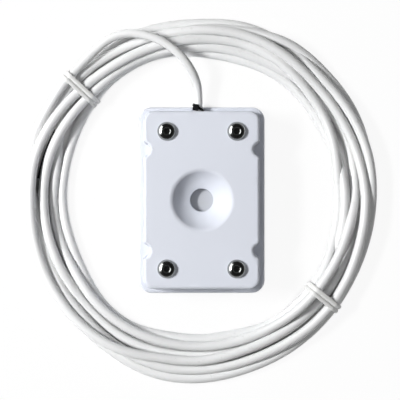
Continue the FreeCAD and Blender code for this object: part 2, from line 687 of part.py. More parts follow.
def coil_path():
    """The coil's centre line: arcs of an eighth of a turn or so between two short straight ends."""
    (start, _), (end, _) = coil_ends()
    steps = math.ceil(math.degrees(COIL_TRAVEL) / SEGMENT_ANGLE)
    stops = [min(math.radians(SEGMENT_ANGLE) * number, COIL_TRAVEL) for number in range(steps + 1)]
    places = [coil_place(travel) for travel in stops]
    edges = [line(start, places[0][0])]
    for (point, direction), (next_point, next_direction) in zip(places, places[1:]):
        edges += biarc(point, direction, next_point, next_direction)
    edges.append(line(places[-1][0], end))
    return Part.Wire(edges)


def least_gap(path):
    """The least distance between the coil's turns, measured on points along its centre line."""
    points = path.discretize(Number=GAP_POINTS)
    turns = COIL_TRAVEL / (2 * math.pi)
    half_turn_points = int(GAP_POINTS / turns / 2)
    least = math.inf
    for number, point in enumerate(points):
        for other in points[number + half_turn_points:]:
            least = min(least, point.distanceToPoint(other))
    return least - CABLE_DIAMETER


def report_tube(name, shape, path):
    """Print a tube's length and how its volume compares with section times length."""
    expected = math.pi * CABLE_RADIUS ** 2 * path.Length
    print(f"{name}: length {path.Length:.1f}, volume / (section x length) {shape.Volume / expected:.5f}")


def make_lead():
    """The free stretch of the cable, from the plate's edge to the coil's start."""
    (coil_start, direction), _ = coil_ends()
    before_coil = coil_start - direction * LEAD_LAST_RUN
    points = [LEAD_START] + LEAD_MIDDLE + [before_coil, coil_start]
    path, radii = rounded_path(points)
    print("lead radii:", ", ".join(f"{radius:.1f}" for radius in radii))
    lead = tube(path, LEAD_START, LEAD_MIDDLE[0] - LEAD_START, CABLE_RADIUS)
    report_tube("lead", lead, path)
    return lead


def make_coil():
    """The coil, one unbroken tube."""
    path = coil_path()
    (start, direction), _ = coil_ends()
    coil = tube(path, start, direction, CABLE_RADIUS)
    report_tube("coil", coil, path)
    print(f"coil: least gap to itself {least_gap(path):.2f}")
    return coil


def turns_at(angle):
    """Radius and height of each turn of the coil in one direction from its centre."""
    first_travel = math.radians((angle - COIL_START_ANGLE) % 360)
    found = []
    travel = first_travel
    while travel <= COIL_TRAVEL:
        radius, _, height, _ = coil_state(travel)
        found.append((radius, height))
        travel += 2 * math.pi
    return found


def tie_band(half_width, half_height, corner_radius, thickness, width):
    """A filled rounded block round the tie's opening, lying along the cable, centred on the origin."""
    outline = rounded_rectangle(
        half_width + thickness, half_height + thickness, corner_radius + thickness, -width / 2
    )
    return prism(outline, width)


def make_coil_tie(angle):
    """A closed band of two round ridges and a thin web, round all turns of the coil at one angle."""
    radial = Vector(COIL_X_SCALE * math.cos(math.radians(angle)), math.sin(math.radians(angle)), 0)
    turns = turns_at(angle)
    side_room = CABLE_RADIUS + COIL_TIE_SIDE_CLEARANCE
    inner = min(radius for radius, _ in turns) * radial.Length - side_room
    outer = max(radius for radius, _ in turns) * radial.Length + side_room
    bottom = COIL_TIE_THICKNESS
    top = UPPER_Z + side_room
    half_width = (outer - inner) / 2
    half_height = (top - bottom) / 2

    ridge = tie_band(half_width, half_height, side_room, COIL_TIE_THICKNESS, COIL_TIE_RIDGE_WIDTH)
    rims = edges_at(ridge, COIL_TIE_RIDGE_WIDTH / 2) + edges_at(ridge, -COIL_TIE_RIDGE_WIDTH / 2)
    ridge = ridge.makeFillet(COIL_TIE_RIDGE_ROUND, rims)
    step = Vector(0, 0, (COIL_TIE_RIDGE_WIDTH + COIL_TIE_GROOVE_WIDTH) / 2)
    full_width = 2 * COIL_TIE_RIDGE_WIDTH + COIL_TIE_GROOVE_WIDTH
    web = tie_band(half_width, half_height, side_room, COIL_TIE_WEB_THICKNESS, full_width - COIL_TIE_RIDGE_WIDTH)
    opening = tie_band(half_width, half_height, side_room, 0.0, full_width)
    band = web.fuse([ridge.translated(step), ridge.translated(-step)]).cut(opening)

    band.rotate(Vector(0, 0, 0), Vector(1, 0, 0), 90)
    band.translate(Vector((outer + inner) / 2, 0, (top + bottom) / 2))
    band.rotate(Vector(0, 0, 0), Vector(0, 0, 1), math.degrees(math.atan2(radial.y, radial.x)))
    band.translate(COIL_CENTRE)
    return band


def end_wire(side, start_length, end_length, radius):
    """A stretch of one core beyond the cable's end, which keeps to the coil's bend."""
    _, (end, direction) = coil_ends()
    coil_radius = coil_state(COIL_TRAVEL)[0]
    inward = Vector(-direction.y, direction.x, 0)
    centre = end + inward * coil_radius
    wire_radius = coil_radius + side * CORE_SPACING / 2

    def place(length):
        angle = length / coil_radius
        return centre - inward * wire_radius * math.cos(angle) + direction * wire_radius * math.sin(angle)

    start_angle = start_length / coil_radius
    start_direction = direction * math.cos(start_angle) + inward * math.sin(start_angle)
    start = place(start_length)
    arc = Part.Arc(start, place((start_length + end_length) / 2), place(end_length)).toShape()
    return tube(Part.Wire([arc]), start, start_direction, radius)


def make_end_core(side):
    """One insulated core at the stripped end of the cable."""
    return end_wire(side, 0.0, END_CORE_LENGTH, CORE_DIAMETER / 2)


def make_end_conductors():
    """The two bare tips of the cores at the stripped end."""
    tip_end = END_CORE_LENGTH + END_CONDUCTOR_LENGTH
    return Part.makeCompound(
        [end_wire(side, END_CORE_LENGTH, tip_end, CONDUCTOR_DIAMETER / 2) for side in (-1, 1)]
    )


def make_parts():
    """All pieces by name."""
    parts = {
        "contact_cover": make_cover(),
        "back_plate": make_plate(),
        "perimeter_gasket": gasket_ring(),
        "circuit_board": make_board(),
        "resistor_body": make_resistor_body(),
        "resistor_leads": make_resistor_leads(),
        "solder_joints": make_solder_joints(),
        "inner_core_red": make_inner_core(-1),
        "inner_core_black": make_inner_core(1),
        "inner_conductors": make_inner_conductors(),
        "cable_in_housing": make_cable_in_housing(),
        "inner_cable_tie": make_inner_tie(),
        "exit_cable_tie": make_exit_tie(),
        "cable_lead": make_lead(),
        "cable_coil": make_coil(),
        "end_core_red": make_end_core(-1),
        "end_core_black": make_end_core(1),
        "end_conductors": make_end_conductors(),
    }
    for number, x, y in screw_places():
        parts["contact_screw_" + number] = make_screw(x, y)
        parts["screw_seal_" + number] = make_seal(x, y)
        parts["threaded_insert_" + number] = make_insert(x, y)
    for name, angle in COIL_TIE_ANGLES.items():
        parts[name] = make_coil_tie(angle)
    return parts


os.makedirs("parts", exist_ok=True)
for node, shape in make_parts().items():
    shape.exportStep("parts/" + node + ".step")
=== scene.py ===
# %% [markdown]
# # A water level sensor inside its own coil of cable
# The real object is a flat white puck that lies on the floor of a basement or under a tank. Four bright
# screw heads on its upper side are the contacts: when water joins two of them, the alarm at the far end of
# the cable hears about it. The solids come from the CAD model, so this notebook only gives them their
# finishes, lays the cable as it really lies, and sets up the camera and the light.

# %% Load the solid model
import math
import bmesh
import bpy
from mathutils import Matrix, Vector


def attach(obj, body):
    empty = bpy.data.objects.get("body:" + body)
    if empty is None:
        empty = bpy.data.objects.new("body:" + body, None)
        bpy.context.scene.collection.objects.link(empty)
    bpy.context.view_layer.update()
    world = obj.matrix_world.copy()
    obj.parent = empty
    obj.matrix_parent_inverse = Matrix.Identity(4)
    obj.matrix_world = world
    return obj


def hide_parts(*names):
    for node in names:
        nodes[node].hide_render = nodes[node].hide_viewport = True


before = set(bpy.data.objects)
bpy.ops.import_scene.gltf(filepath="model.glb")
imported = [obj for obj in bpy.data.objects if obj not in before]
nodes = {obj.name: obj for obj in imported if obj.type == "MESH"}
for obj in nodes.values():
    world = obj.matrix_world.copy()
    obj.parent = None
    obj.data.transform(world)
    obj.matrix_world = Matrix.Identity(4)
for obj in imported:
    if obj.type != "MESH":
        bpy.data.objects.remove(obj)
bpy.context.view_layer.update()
print("nodes in the model:", len(nodes))

# %% [markdown]
# ## The camera
# The photograph looks straight down on the sensor. A lens that is too wide would show the puck's side walls,
# and a flat projection would hide them all, so the camera stands three quarters of a metre above the floor,
# where the walls show as the narrow strips of the photograph.

# %% Look straight down
CAMERA_HEIGHT = 0.750
CAMERA_X = -0.00070
CAMERA_Y = 0.00004
FILM_WIDTH = 36.0
FRAME_WIDTH_ON_FLOOR = 0.16498
camera_data = bpy.data.cameras.new("camera")
camera_data.sensor_width = FILM_WIDTH
camera_data.lens = FILM_WIDTH * CAMERA_HEIGHT / FRAME_WIDTH_ON_FLOOR
camera_data.clip_start = 0.05
camera_data.clip_end = 20.0
camera = bpy.data.objects.new("camera", camera_data)
camera.location = (CAMERA_X, CAMERA_Y, CAMERA_HEIGHT)
bpy.context.scene.collection.objects.link(camera)
bpy.context.scene.camera = camera
print("lens in mm:", round(camera_data.lens, 2))

# %% [markdown]
# ## The cable
# Two and a half metres of thin round cable leave the puck, climb over the coil and go round it six times.
# The turns of a hand-wound coil are never the same size: each wanders from side to side and crosses its
# neighbours. One open spline carries the whole cable. Its first points are the route to the coil, and the
# rest come from a loop that goes round and looks up how far out each turn lies.

# %% The cable's sizes and the route to the coil
MM = 0.001
CABLE_DIAMETER = 3.8
CABLE_EXIT = (-1.4, 38.1, 5.3)
LEAD_POINTS = [
    CABLE_EXIT,
    (-1.4, 42.9, 5.3),
    (-1.9, 48.0, 7.1),
    (-4.1, 52.9, 9.9),
    (-7.6, 58.0, 11.8),
    (-14.0, 63.6, 12.2),
    (-21.6, 66.9, 11.8),
    (-29.3, 68.2, 10.9),
    (-36.3, 66.6, 9.9),
    (-41.8, 62.6, 9.4),
]
COIL_CENTRE = Vector((-0.2, -0.2, 0.0))
COIL_X_SCALE = 0.965
print("points to the coil:", len(LEAD_POINTS))

# %% [markdown]
# A lane is the distance from the coil's inner edge, counted in steps of 3.4 mm. Twenty-four places round the
# coil give each turn its lane, and a smooth curve fills in between them. The letters say which turn lies on
# which.

# %% How the six turns wander
INNER_RADIUS = 58.1
LANE_WIDTH = 3.4
PLACES = 24
STEPS = 48
STEPS_PER_PLACE = STEPS // PLACES
FIRST_PLACE_ANGLE = 150.0
TURN_LANES = {
    "a": [4.85, 5.05, 3.85, 3.40, 3.25, 3.20, 3.40, 3.62, 3.35, 3.05, 3.10, 3.38,
          3.42, 3.32, 3.38, 3.17, 2.93, 2.87, 3.25, 3.45, 3.40, 3.45, 3.70, 4.10],
    "b": [4.10, 4.30, 4.30, 4.20, 4.20, 4.05, 4.30, 4.63, 4.40, 4.00, 3.90, 3.85,
          3.80, 3.95, 4.20, 4.45, 4.25, 3.95, 4.30, 4.62, 4.28, 4.45, 4.70, 4.40],
    "c": [3.00, 1.50, 1.45, 1.20, 0.85, 0.90, 0.75, 0.55, 0.50, 0.42, 0.50, 0.75,
          1.00, 1.42, 2.07, 2.45, 2.45, 2.10, 1.50, 1.40, 1.45, 1.50, 1.60, 1.65],
    "d": [2.10, 2.60, 2.60, 2.40, 2.15, 2.07, 2.15, 1.90, 1.65, 1.50, 1.30, 1.00,
          0.70, 0.80, 0.90, 0.80, 0.47, 0.67, 0.77, 0.58, 0.80, 1.40, 1.45, 1.20],
    "f": [0.72, 0.43, 0.33, 0.02, 0.02, 0.47, 0.50, -0.18, -0.35, -0.42, 0.17, 0.17,
          0.30, 0.12, 0.12, 0.43, 1.15, 1.60, 2.25, 2.45, 2.30, 2.30, 2.35, 2.78],
    "e": [3.60, 4.22, 4.10, 4.18, 4.17, 4.05, 3.50, 2.47, 2.20, 1.70, 1.70, 1.92,
          2.25, 2.95, 3.75, 4.40, 4.77, 4.72, 4.75, 3.97, 3.60, 3.20, 2.90, 2.80],
}
TURN_NAMES = "".join(TURN_LANES) + "z"
LAST_LANE = 2.76
LEAD_LANE = 4.95
LEAD_STEPS = 2
# From the floor up at each place: l is the lead's own end, z the cable's last stretch.
STACKS = ["zcbfdae", "bfcade", "bfacde", "bfacde", "bfacde", "bfacde", "fbacde", "fbcdae",
          "fbcdae", "dfbcae", "dfbcea", "dfbcea", "dbfcea", "efdbca", "efdbca", "edbfca",
          "dcebfa", "dcebfa", "dcbfea", "dcbfea", "dcbefa", "dcebfa", "edcbfa", "edcbfal"]


# %% Look up a lane anywhere along the cable
lanes = [lane for turn in TURN_LANES.values() for lane in turn] + [LAST_LANE]


def lane_at(place):
    whole = math.floor(place)
    t = place - whole
    near = [lanes[k] if 0 <= k < len(lanes) else (LEAD_LANE if k < 0 else LAST_LANE)
            for k in range(whole - 1, whole + 3)]
    before, here, after, beyond = near
    straight = 2 * here + (after - before) * t
    bend = (2 * before - 5 * here + 4 * after - beyond) * t ** 2
    twist = (3 * here - before - 3 * after + beyond) * t ** 3
    return 0.5 * (straight + bend + twist)


steps = list(range(-LEAD_STEPS, (len(lanes) - 1) * STEPS_PER_PLACE + 1))
print("points in the coil:", len(steps), "of them", STEPS, "in each turn")

# %% [markdown]
# Where two turns cross, one rests on the other. At each step round the coil the turns are laid down from the
# lowest to the highest, each as low as those under it allow. A little stiffness then smooths every turn
# along its length, and the turns are laid down once more. Nothing sinks below the floor, beside a tie the
# lowest turn lies on the tie's band, and at the left the fourth turn lies on the cable's stripped cores.

# %% Let the turns settle on each other
TIE_ANGLES = {"coil_tie_upper_left": 138.2, "coil_tie_lower_right": 322.5}
TIE_LIFT = 0.95
TIE_LIFT_REACH = 14.0
TIE_LIFT_SLOPE = 10.0
# The coil is drawn a little thicker than the cable and the lead a little thinner, as they look in the light.
COIL_FULLNESS = 1.05
LEAD_FULLNESS = 0.92
FLOOR_GAP = 0.04
CLOSEST = 0.97
STIFFNESS = 0.50
FLOOR_REST = COIL_FULLNESS * CABLE_DIAMETER / 2 + FLOOR_GAP
# The fourth turn lies on the stripped cores at the cable's end.
CORES_ANGLE = 169.0
CORES_REACH = 15.0
CORES_REST = 5.6
# The cable's last point lies higher than a turn on the floor, at the height of the cores.
END_REST = 2.8


def angle_at(step):
    return math.radians(FIRST_PLACE_ANGLE + 360.0 * step / STEPS)


def stretch_at(step):
    return math.hypot(COIL_X_SCALE * math.cos(angle_at(step)), math.sin(angle_at(step)))


def turn_name(step):
    return "l" if step < 0 else TURN_NAMES[step // STEPS]


def rank(index):
    step = steps[index]
    return STACKS[step % STEPS // STEPS_PER_PLACE].index(turn_name(step))


def rest_height(step):
    if turn_name(step) == "z":
        return END_REST
    degrees = math.degrees(angle_at(step)) % 360
    off = min(abs(degrees - tie) for tie in TIE_ANGLES.values())
    rest = FLOOR_REST + TIE_LIFT * max(0.0, min(1.0, (TIE_LIFT_REACH - off) / TIE_LIFT_SLOPE))
    if turn_name(step) == "d" and abs(degrees - CORES_ANGLE) < CORES_REACH:
        return max(rest, CORES_REST)
    return rest


def smooth(values):
    inner = [b + STIFFNESS * ((a + c) / 2 - b) for a, b, c in zip(values, values[1:], values[2:])]
    return [max(z, low) for z, low in zip([values[0], *inner, values[-1]], floor_z)]


def lay_down(values):
    laid = list(values)
    for here in columns:
        for n, high in enumerate(here):
            for low in here[:n]:
                across = out[high] - out[low]
                if abs(across) < reach:
                    laid[high] = max(laid[high], laid[low] + math.sqrt(reach ** 2 - across ** 2))
    return laid


out = [lane_at(step / STEPS_PER_PLACE) * LANE_WIDTH * stretch_at(step) for step in steps]
floor_z = [rest_height(step) for step in steps]
reach = CLOSEST * CABLE_DIAMETER
columns = [sorted((i for i, step in enumerate(steps) if step % STEPS == column), key=rank)
           for column in range(STEPS)]
height = smooth(lay_down(smooth(lay_down(floor_z))))
print("highest turn in mm:", round(max(height), 2))

# %% Draw the cable as one spline
SPLINE_ORDER = 3
SPLINE_PIECES = 4
ROUND_PIECES = 6
COIL_END = (-59.29, 28.56, END_REST)


def coil_point(index):
    step = steps[index]
    radius = (INNER_RADIUS + out[index] / stretch_at(step)) / math.cos(math.pi / STEPS)
    x = COIL_CENTRE.x + COIL_X_SCALE * radius * math.cos(angle_at(step))
    y = COIL_CENTRE.y + radius * math.sin(angle_at(step))
    return x, y, height[index]


def draw_spline(name, points, width):
    curve = bpy.data.curves.new(name, "CURVE")
    curve.dimensions = "3D"
    spline = curve.splines.new("NURBS")
    spline.points.add(len(points) - 1)
    for number, (point, (x, y, z)) in enumerate(zip(spline.points, points)):
        fullness = COIL_FULLNESS if number >= len(LEAD_POINTS) else LEAD_FULLNESS
        point.co = (x * MM, y * MM, z * MM, 1.0)
        point.radius = width / 2 * MM * fullness
    spline.order_u = SPLINE_ORDER
    spline.use_endpoint_u = True
    spline.resolution_u = SPLINE_PIECES
    curve.bevel_depth = 1.0
    curve.bevel_resolution = ROUND_PIECES
    curve.use_fill_caps = True
    piece = bpy.data.objects.new(name, curve)
    bpy.context.scene.collection.objects.link(piece)
    return piece


cable_points = LEAD_POINTS + [coil_point(index) for index in range(len(steps))]
cable_points[-1] = COIL_END
cable = draw_spline("sensor_cable", cable_points, CABLE_DIAMETER)
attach(cable, "root")
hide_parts("cable_lead", "cable_coil")
print("points along the cable:", len(cable_points))

# %% [markdown]
# ## The bands round the coil
# Each white tie is a strap pulled tight round all the turns that pass it. A flat closed curve goes round the
# turns as a stretched string would, and a small profile with two ridges is carried along it.

# %% Find where the turns pass a tie
BAND_INNER = 0.36
BAND_OUTER = 0.42
BAND_HALF_WIDTH = 1.85
BAND_SLACK = 0.05
BAND_STEPS = 72


def centre_line(piece):
    line_data = piece.data.copy()
    line_data.bevel_depth = 0.0
    line_piece = bpy.data.objects.new("centre_line", line_data)
    line_mesh = bpy.data.meshes.new_from_object(line_piece)
    found = [vertex.co / MM for vertex in line_mesh.vertices]
    bpy.data.objects.remove(line_piece)
    bpy.data.curves.remove(line_data)
    bpy.data.meshes.remove(line_mesh)
    return found


def tie_directions(degrees):
    angle = math.radians(degrees)
    outward = Vector((COIL_X_SCALE * math.cos(angle), math.sin(angle), 0.0)).normalized()
    return outward, outward.cross(Vector((0.0, 0.0, 1.0)))


def turns_passing(degrees):
    outward, along = tie_directions(degrees)
    places = [((p - COIL_CENTRE).dot(outward), (p - COIL_CENTRE).dot(along), p.z) for p in cable_line]
    found = []
    for (near_out, near, near_z), (far_out, far, far_z) in zip(places, places[1:]):
        if near_out > 0 and near * far <= 0 and near != far:
            t = near / (near - far)
            found.append(Vector((near_out + t * (far_out - near_out), near_z + t * (far_z - near_z))))
    return found


cable_line = centre_line(cable)
for tie_name, degrees in TIE_ANGLES.items():
    print(tie_name, "holds", len(turns_passing(degrees)), "turns")

# %% Carry a ridged profile round the turns
BAND_EDGE = 0.15
BAND_GROOVE = 0.30
WIDE, RIDGE_OUT, RIDGE_IN = (share * BAND_HALF_WIDTH for share in (1.05, 0.75, 0.25))
BAND_PROFILE = [
    (BAND_INNER, -BAND_HALF_WIDTH),
    (BAND_INNER, BAND_HALF_WIDTH),
    (-BAND_EDGE, WIDE),
    (-BAND_OUTER, RIDGE_OUT),
    (-BAND_OUTER, RIDGE_IN),
    (BAND_GROOVE, 0.0),
    (-BAND_OUTER, -RIDGE_IN),
    (-BAND_OUTER, -RIDGE_OUT),
    (-BAND_EDGE, -WIDE),
]


def closed_curve(name, kind, points):
    curve = bpy.data.curves.new(name, "CURVE")
    curve.dimensions = "2D"
    curve.fill_mode = "NONE"
    spline = curve.splines.new(kind)
    spline.points.add(len(points) - 1)
    for point, (x, y) in zip(spline.points, points):
        point.co = (x * MM, y * MM, 0.0, 1.0)
    spline.use_cyclic_u = True
    spline.order_u = SPLINE_ORDER
    spline.resolution_u = SPLINE_PIECES
    piece = bpy.data.objects.new(name, curve)
    bpy.context.scene.collection.objects.link(piece)
    return piece


def carry_round(name, loop, profile_points, profile_kind, place_matrix):
    """A solid strap: the profile carried round the loop, then put in its place."""
    profile = closed_curve(name + "_profile", profile_kind, profile_points)
    path = closed_curve(name + "_path", "POLY", loop)
    path.data.bevel_mode = "OBJECT"
    path.data.bevel_object = profile
    bpy.context.view_layer.update()
    graph = bpy.context.evaluated_depsgraph_get()
    mesh = bpy.data.meshes.new_from_object(path.evaluated_get(graph))
    mesh.transform(place_matrix)
    for polygon in mesh.polygons:
        polygon.use_smooth = True
    for used in (path, profile):
        data = used.data
        bpy.data.objects.remove(used)
        bpy.data.curves.remove(data)
    low, high = min(v.co.z for v in mesh.vertices), max(v.co.z for v in mesh.vertices)
    print(name, "from", round(low / MM, 2), "to", round(high / MM, 2), "mm, faces:", len(mesh.polygons))
    return mesh


def standing_frame(place, outward, along):
    turn = Matrix((outward, (0.0, 0.0, 1.0), along)).transposed().to_4x4()
    return Matrix.Translation(Vector(place) * MM) @ turn


def add_piece(name, mesh):
    piece = bpy.data.objects.new(name, mesh)
    bpy.context.scene.collection.objects.link(piece)
    return piece


def around(steps_round):
    angles = [2 * math.pi * step / steps_round for step in range(steps_round)]
    return [Vector((math.cos(angle), math.sin(angle))) for angle in angles]


def make_band(name, degrees):
    turns = turns_passing(degrees)
    reach_out = CABLE_DIAMETER * COIL_FULLNESS / 2 + BAND_SLACK + BAND_INNER
    loop = [max(turns, key=away.dot) + away * reach_out for away in around(BAND_STEPS)]
    return add_piece(name, carry_round(name, loop, BAND_PROFILE, "NURBS",
                                       standing_frame(COIL_CENTRE, *tie_directions(degrees))))


bands = {}
for tie_name, degrees in TIE_ANGLES.items():
    band = make_band("band_" + tie_name.removeprefix("coil_tie_"), degrees)
    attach(band, "root")
    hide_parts(tie_name)
    bands[tie_name] = band

# %% [markdown]
# The small black tie at the outlet sits askew, so that its strap crosses the cable at a slant. Its square
# head is at the left.

# %% The black tie at the outlet
EXIT_TIE_PLACE = (-1.4, 37.85, 5.3)
EXIT_TIE_TURN = 32.0
EXIT_STRAP_WIDTH = 1.0
EXIT_STRAP_THICKNESS = 0.4
EXIT_STRAP_GAP = 0.1
EXIT_HEAD_SIZE = (2.5, 2.7, 2.2)
EXIT_HEAD_PLACE = (-2.40, 37.85, 7.1)
EXIT_HEAD_EDGE = 0.25
# The head turns back by this share of the strap's own turn.
EXIT_HEAD_SHARE = -0.3
turned = math.radians(EXIT_TIE_TURN)
outward = Vector((math.cos(turned), -math.sin(turned), 0.0))
strap_reach = LEAD_FULLNESS * CABLE_DIAMETER / 2 + EXIT_STRAP_GAP + EXIT_STRAP_THICKNESS / 2
loop = [Vector((away.x * strap_reach / math.cos(turned), away.y * strap_reach))
        for away in around(BAND_STEPS)]
half_thick, half_wide = EXIT_STRAP_THICKNESS / 2, EXIT_STRAP_WIDTH / 2
strap_profile = [(-half_thick, -half_wide), (half_thick, -half_wide),
                 (half_thick, half_wide), (-half_thick, half_wide)]
strap_mesh = carry_round("outlet_tie", loop, strap_profile, "POLY",
                         standing_frame(EXIT_TIE_PLACE, outward, outward.cross(Vector((0.0, 0.0, 1.0)))))
tie_maker = bmesh.new()
head = bmesh.ops.create_cube(tie_maker, size=1.0)["verts"]
bmesh.ops.scale(tie_maker, verts=head, vec=[size * MM for size in EXIT_HEAD_SIZE])
bmesh.ops.bevel(tie_maker, geom=tie_maker.edges[:], offset=EXIT_HEAD_EDGE * MM, segments=3,
                affect="EDGES")
bmesh.ops.rotate(tie_maker, verts=tie_maker.verts,
                 matrix=Matrix.Rotation(EXIT_HEAD_SHARE * turned, 3, "Z"))
bmesh.ops.translate(tie_maker, verts=tie_maker.verts, vec=Vector(EXIT_HEAD_PLACE) * MM)
tie_maker.from_mesh(strap_mesh)
tie_maker.to_mesh(strap_mesh)
tie_maker.free()
outlet_tie = add_piece("outlet_tie", strap_mesh)
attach(outlet_tie, "root")
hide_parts("exit_cable_tie")
print("outlet tie faces:", len(strap_mesh.polygons))

# %% [markdown]
# ## Shader maths
# Shader nodes are easier to read as sums. This small class wraps a node's output, so that two outputs can be
# added or multiplied with the usual signs, and one method makes any other node.

# %% A class for node outputs


class Out:
    """One output of a shader node."""

    def __init__(self, tree, socket):
        self.tree, self.socket = tree, socket

    def node(self, kind, inputs=(), **settings):
        made = self.tree.nodes.new(kind)
        for key, value in settings.items():
            setattr(made, key, value)
        for key, value in dict(inputs).items():
            plug(self.tree, made.inputs[key], value)
        return made

    def math(self, operation, other=None):
        inputs = {0: self}
        if other is not None:
            inputs[1] = other
        return Out(self.tree, self.node("ShaderNodeMath", inputs, operation=operation).outputs[0])

    def __add__(self, other):
        return self.math("ADD", other)

    def __mul__(self, other):
        return self.math("MULTIPLY", other)

    def __rsub__(self, other):
        return (self * -1.0) + other

    __radd__ = __add__

    def between(self, low, high):
        """0 below low, 1 above high, and a soft step between them."""
        inputs = {"Value": self, "From Min": low, "From Max": high}
        made = self.node("ShaderNodeMapRange", inputs, interpolation_type="SMOOTHSTEP")
        return Out(self.tree, made.outputs["Result"])

    def mix(self, first, second):
        """The first colour where this is 0 and the second where it is 1."""
        made = self.node("ShaderNodeMix", data_type="RGBA")
        plug(self.tree, made.inputs[0], self)
        plug(self.tree, made.inputs[6], first)
        plug(self.tree, made.inputs[7], second)
        return Out(self.tree, made.outputs[2])


def plug(tree, socket, value):
    if isinstance(value, Out):
        tree.links.new(value.socket, socket)
    elif hasattr(value, "__len__") and len(value) == 3 and socket.type == "RGBA":
        socket.default_value = (*value, 1.0)
    else:
        socket.default_value = value


print("node outputs can be added")

# %% A finish and the spots that it is made of
finishes = {}


def new_finish(name):
    material = bpy.data.materials.new(name)
    material.use_nodes = True
    tree = material.node_tree
    shader = tree.nodes["Principled BSDF"]
    place = Out(tree, tree.nodes.new("ShaderNodeTexCoord").outputs["Object"])
    finishes[name] = material
    return tree, shader, place


def noise(place, scale, detail, roughness=0.5):
    inputs = {"Vector": place, "Scale": scale, "Detail": detail, "Roughness": roughness}
    return Out(place.tree, place.node("ShaderNodeTexNoise", inputs).outputs["Fac"])


def bump(height_value, distance, strength):
    inputs = {"Height": height_value, "Distance": distance, "Strength": strength}
    return Out(height_value.tree, height_value.node("ShaderNodeBump", inputs).outputs["Normal"])


def look(tree, shader, colour, roughness, normal, metallic=0.0, specular=0.5):
    plug(tree, shader.inputs["Base Color"], colour)
    plug(tree, shader.inputs["Roughness"], roughness)
    plug(tree, shader.inputs["Normal"], normal)
    shader.inputs["Metallic"].default_value = metallic
    shader.inputs["Specular IOR Level"].default_value = specular


def dress(name, *node_names):
    for node_name in node_names:
        node = nodes[node_name]
        node.data.materials.clear()
        node.data.materials.append(finishes[name])
    print(name, "on", len(node_names), "pieces")


# %% [markdown]
# ## White moulded plastic
# The cover and the back plate are moulded in a cool white plastic with a fine spark finish. The finish is a
# very small, soft bump. The colour hardly varies, but a faint cloudiness and a few duller patches, as from
# handling, keep the faces from looking like a flat fill. The small recess in the middle is a little greyer,
# because less light reaches its floor than the lamps here would give it.

# %% Housing finish
RECESS_RADIUS = (0.0045, 0.0048)
RECESS_MOUTH = (0.0088, 0.0096)
tree, shader, place = new_finish("housing_white")
cloud = noise(place, 60.0, 3.0)
grain = noise(place, 2600.0, 2.0, 0.6)
dull = noise(place, 140.0, 4.0).between(0.45, 0.75)
axes = place.node("ShaderNodeSeparateXYZ", {"Vector": place})
across, up_and_down, above = (Out(tree, axes.outputs[axis]) for axis in "XYZ")
from_axis = (across * across + up_and_down * up_and_down).math("SQRT")
# Painted shade: the recess floor gets a greyer colour in place of the light that does not reach it.
recess_painted_shade = (1.0 - from_axis.between(*RECESS_RADIUS)) * (1.0 - above.between(*RECESS_MOUTH))
clean = cloud.mix((0.645, 0.670, 0.737), (0.660, 0.685, 0.753))
look(tree, shader, recess_painted_shade.mix(clean, (0.44, 0.453, 0.484)), 0.58 + dull * 0.10 + grain * 0.06,
     bump(grain, 0.00006, 0.35), specular=0.30)
dress("housing_white", "contact_cover", "back_plate")

# %% [markdown]
# ## Bright screws
# The contact screws are polished and plated. A mirror needs something to reflect: the soft lamp on the left
# gives the white crescent, and the dim room gives the dark middle. Fine turning marks round each head catch
# a little of the light.

# %% Screw finish
tree, shader, place = new_finish("screw_bright")
smear = noise(place, 900.0, 3.0)
haze = noise(place, 300.0, 2.0).between(0.4, 0.7)
look(tree, shader, haze.mix((0.33, 0.34, 0.335), (0.28, 0.29, 0.285)), 0.10 + smear * 0.08 + haze * 0.05,
     bump(smear, 0.00002, 0.25), metallic=1.0)
dress("screw_bright", *[f"contact_screw_{n}" for n in (1, 2, 3, 4)])

# %% [markdown]
# ## The cable's jacket
# The jacket is soft white PVC: a little grey, slightly glossy, with the faint waviness of an extruded skin.

# %% Cable finish
tree, shader, place = new_finish("cable_white")
wave = noise(place, 120.0, 2.0)
skin = noise(place, 1500.0, 3.0, 0.6)
scuff = noise(place, 420.0, 5.0, 0.7).between(0.58, 0.74)
clean = wave.mix((0.76, 0.765, 0.768), (0.72, 0.725, 0.725))
look(tree, shader, scuff.mix(clean, (0.65, 0.655, 0.65)), 0.34 + skin * 0.14 + scuff * 0.12,
     bump(skin, 0.00008, 0.35))
dress("cable_white", "cable_in_housing")
cable.data.materials.append(finishes["cable_white"])

# %% [markdown]
# ## Ties
# The two ties round the coil are milky white nylon, and the small one at the outlet is black nylon.

# %% Tie finishes
TIE_LOOKS = (("tie_white", (0.80, 0.80, 0.79), (0.70, 0.70, 0.69), 0.38, 0.50),
             ("tie_black", (0.004, 0.004, 0.005), (0.008, 0.008, 0.009), 0.34, 0.15))
for name, light, dark, gloss, shine in TIE_LOOKS:
    tree, shader, place = new_finish(name)
    cloud = noise(place, 350.0, 3.0)
    scratch = noise(place, 2200.0, 4.0, 0.7)
    look(tree, shader, cloud.mix(light, dark), gloss + scratch * 0.12, bump(scratch, 0.00005, 0.35),
         specular=shine)
dress("tie_white", "inner_cable_tie")
for band in bands.values():
    band.data.materials.append(finishes["tie_white"])
outlet_tie.data.materials.append(finishes["tie_black"])

# %% [markdown]
# ## Inside the housing
# These pieces only show when the model is opened, but each has its own finish: rubber seals, brass inserts,
# a green board, a tan resistor, tinned wire and solder, and the red and black cores.

# %% Rubber and brass
tree, shader, place = new_finish("seal_black")
dust = noise(place, 1400.0, 4.0, 0.6)
look(tree, shader, dust.between(0.5, 0.8).mix((0.018, 0.018, 0.019), (0.05, 0.05, 0.05)), 0.62 + dust * 0.15,
     bump(dust, 0.00005, 0.4))
dress("seal_black", "perimeter_gasket", *[f"screw_seal_{n}" for n in (1, 2, 3, 4)])

